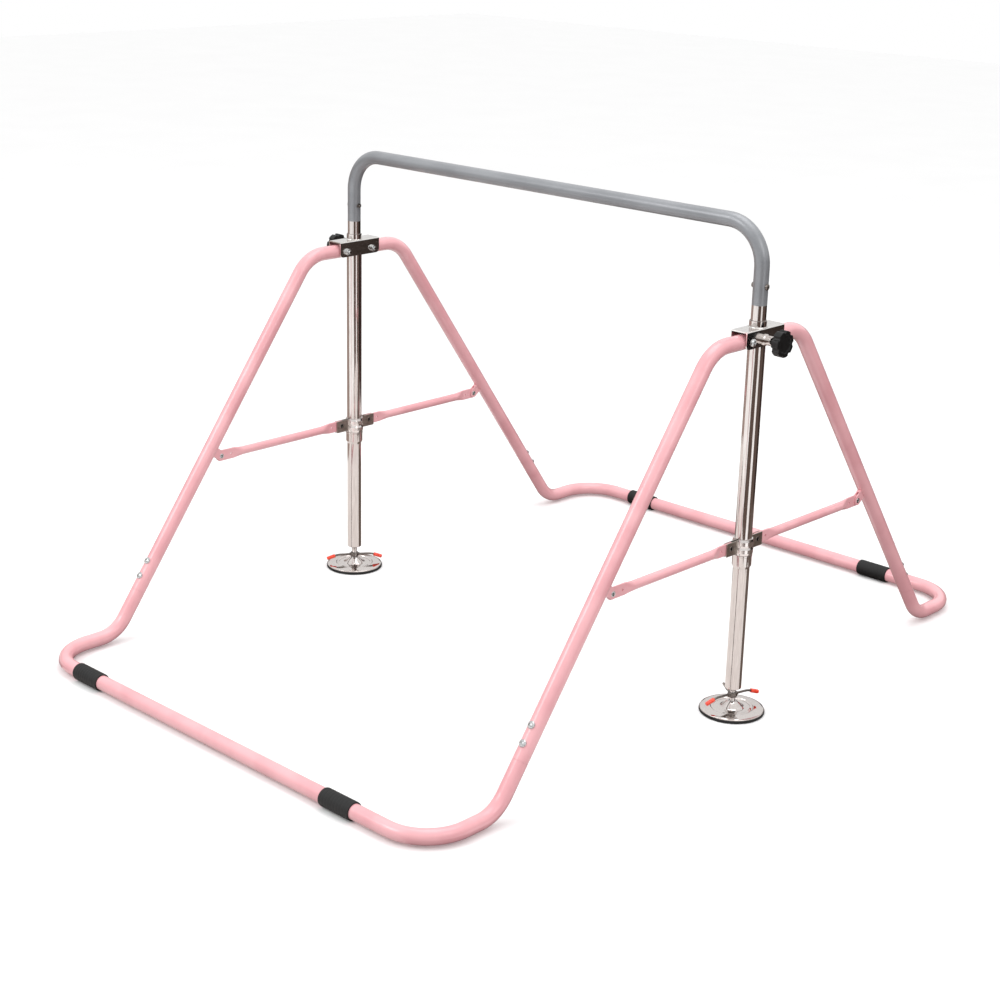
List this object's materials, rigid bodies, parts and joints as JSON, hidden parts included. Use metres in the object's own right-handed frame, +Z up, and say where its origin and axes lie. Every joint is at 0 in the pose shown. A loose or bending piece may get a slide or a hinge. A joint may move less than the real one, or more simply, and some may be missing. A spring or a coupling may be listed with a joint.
{
  "type": "kip bar",
  "caption": "Folding kip bar: a height-adjustable horizontal bar on telescopic posts with suction feet, braced by front and rear bent-tube frames.",
  "frame": {"origin": "on the floor, midway between the two posts", "axes": "+X along the grip bar towards the right post, +Y from the front rail to the rear rail, +Z up"},
  "size_m": [1.34, 1.8622, 1.0605],
  "materials": {
    "pink_powder_coat": "gloss pink powder coat",
    "grey_paint": "semi-gloss metallic grey",
    "chrome": "bright chrome plate",
    "bracket_steel": "dark bright nickel plate",
    "zinc_steel": "bright zinc plate",
    "spring_steel": "drawn wire",
    "black_rubber": "matt rubber",
    "black_plastic": "moulded satin",
    "red_vinyl": "dipped vinyl"
  },
  "bodies": {
    "posts": {"left_post_upper_tube": "chrome", "left_post_lower_tube": "chrome", "left_guide_bush": "black_plastic", "left_post_plug": "zinc_steel", "left_bracket": "bracket_steel", "left_bracket_bolts": "zinc_steel", "left_lock_boss": "chrome", "left_lock_spring": "spring_steel", "left_foot_stud": "chrome", "left_foot_cover": "chrome", "left_suction_cup": "black_rubber", "right_post_upper_tube": "chrome", "right_post_lower_tube": "chrome", "right_guide_bush": "black_plastic", "right_post_plug": "zinc_steel", "right_bracket": "bracket_steel", "right_bracket_bolts": "zinc_steel", "right_lock_boss": "chrome", "right_lock_spring": "spring_steel", "right_foot_stud": "chrome", "right_foot_cover": "chrome", "right_suction_cup": "black_rubber"},
    "bar": {"grip_bar": "grey_paint", "left_inner_tube": "chrome", "right_inner_tube": "chrome", "bar_bolts": "zinc_steel"},
    "left_plunger": {"left_lock_plunger": "chrome"},
    "left_knob": {"left_lock_knob": "black_plastic"},
    "left_handle": {"left_foot_handle": "chrome", "left_handle_caps": "red_vinyl"},
    "left_collar": {"left_collar_outer_half": "chrome", "left_collar_inner_half": "chrome", "left_collar_rivets": "zinc_steel"},
    "right_plunger": {"right_lock_plunger": "chrome"},
    "right_knob": {"right_lock_knob": "black_plastic"},
    "right_handle": {"right_foot_handle": "chrome", "right_handle_caps": "red_vinyl"},
    "right_collar": {"right_collar_outer_half": "chrome", "right_collar_inner_half": "chrome", "right_collar_rivets": "zinc_steel"},
    "left_front_brace": {"left_front_brace": "pink_powder_coat"},
    "left_rear_brace": {"left_rear_brace": "pink_powder_coat"},
    "right_front_brace": {"right_front_brace": "pink_powder_coat"},
    "right_rear_brace": {"right_rear_brace": "pink_powder_coat"},
    "front_frame": {"front_left_leg": "pink_powder_coat", "front_right_leg": "pink_powder_coat", "front_left_lug": "pink_powder_coat", "front_right_lug": "pink_powder_coat", "front_base_rail": "pink_powder_coat", "front_joint_screws": "zinc_steel", "front_lug_rivets": "zinc_steel", "front_rubber_sleeves": "black_rubber"},
    "rear_frame": {"rear_left_leg": "pink_powder_coat", "rear_right_leg": "pink_powder_coat", "rear_left_lug": "pink_powder_coat", "rear_right_lug": "pink_powder_coat", "rear_base_rail": "pink_powder_coat", "rear_joint_screws": "zinc_steel", "rear_lug_rivets": "zinc_steel", "rear_rubber_sleeves": "black_rubber"}
  },
  "joints": [
    {"name": "bar_height", "type": "slide", "parent": "posts", "child": "bar", "axis": [0, 0, 1], "range_m": [0, 0.4]},
    {"name": "left_lock_pull", "type": "slide", "parent": "posts", "child": "left_plunger", "axis": [-1, 0, 0], "range_m": [0, 0.008], "stiffness_N_per_m": 600, "springref_m": -0.004, "deforming": ["left_lock_spring"]},
    {"name": "left_knob_turn", "type": "hinge", "parent": "left_plunger", "child": "left_knob", "pos_m": [-0.66, 0, 0.817], "axis": [-1, 0, 0], "continuous": true},
    {"name": "left_handle_turn", "type": "hinge", "parent": "posts", "child": "left_handle", "pos_m": [-0.6, 0, 0.035], "axis": [0, 0, 1], "continuous": true},
    {"name": "right_lock_pull", "type": "slide", "parent": "posts", "child": "right_plunger", "axis": [1, 0, 0], "range_m": [0, 0.008], "stiffness_N_per_m": 600, "springref_m": -0.004, "deforming": ["right_lock_spring"]},
    {"name": "right_knob_turn", "type": "hinge", "parent": "right_plunger", "child": "right_knob", "pos_m": [0.66, 0, 0.817], "axis": [1, 0, 0], "continuous": true},
    {"name": "right_handle_turn", "type": "hinge", "parent": "posts", "child": "right_handle", "pos_m": [0.6, 0, 0.035], "axis": [0, 0, 1], "continuous": true},
    {"name": "fold", "type": "slide", "parent": "posts", "child": "left_collar", "axis": [0, 0, 1], "range_m": [0, 0.2249]},
    {"name": "right_collar_slide", "type": "slide", "parent": "posts", "child": "right_collar", "axis": [0, 0, 1], "range_m": [0, 0.2269]},
    {"name": "left_front_brace_pivot", "type": "hinge", "parent": "left_collar", "child": "left_front_brace", "pos_m": [-0.6, -0.045, 0.38], "axis": [1, 0, 0], "range_deg": [0, 69.37]},
    {"name": "left_rear_brace_pivot", "type": "hinge", "parent": "left_collar", "child": "left_rear_brace", "pos_m": [-0.6, 0.045, 0.38], "axis": [-1, 0, 0], "range_deg": [0, 69.37]},
    {"name": "right_front_brace_pivot", "type": "hinge", "parent": "right_collar", "child": "right_front_brace", "pos_m": [0.6, -0.045, 0.38], "axis": [1, 0, 0], "range_deg": [0, 69.37]},
    {"name": "right_rear_brace_pivot", "type": "hinge", "parent": "right_collar", "child": "right_rear_brace", "pos_m": [0.6, 0.045, 0.38], "axis": [-1, 0, 0], "range_deg": [0, 69.37]},
    {"name": "front_lug_pivot", "type": "hinge", "parent": "left_front_brace", "child": "front_frame", "pos_m": [-0.6, -0.42, 0.38], "axis": [-1, 0, 0], "range_deg": [0, 42.37]},
    {"name": "rear_lug_pivot", "type": "hinge", "parent": "left_rear_brace", "child": "rear_frame", "pos_m": [-0.6, 0.42, 0.38], "axis": [1, 0, 0], "range_deg": [0, 42.37]}
  ],
  "couplings": [
    {"joint": "right_collar_slide", "follows": "fold", "ratio": 1},
    {"joint": "left_front_brace_pivot", "follows": "fold", "rad_per_m": 5.3445},
    {"joint": "left_rear_brace_pivot", "follows": "fold", "rad_per_m": 5.3445},
    {"joint": "right_front_brace_pivot", "follows": "fold", "rad_per_m": 5.3445},
    {"joint": "right_rear_brace_pivot", "follows": "fold", "rad_per_m": 5.3445},
    {"joint": "front_lug_pivot", "follows": "fold", "rad_per_m": 3.2492},
    {"joint": "rear_lug_pivot", "follows": "fold", "rad_per_m": 3.2492}
  ]
}
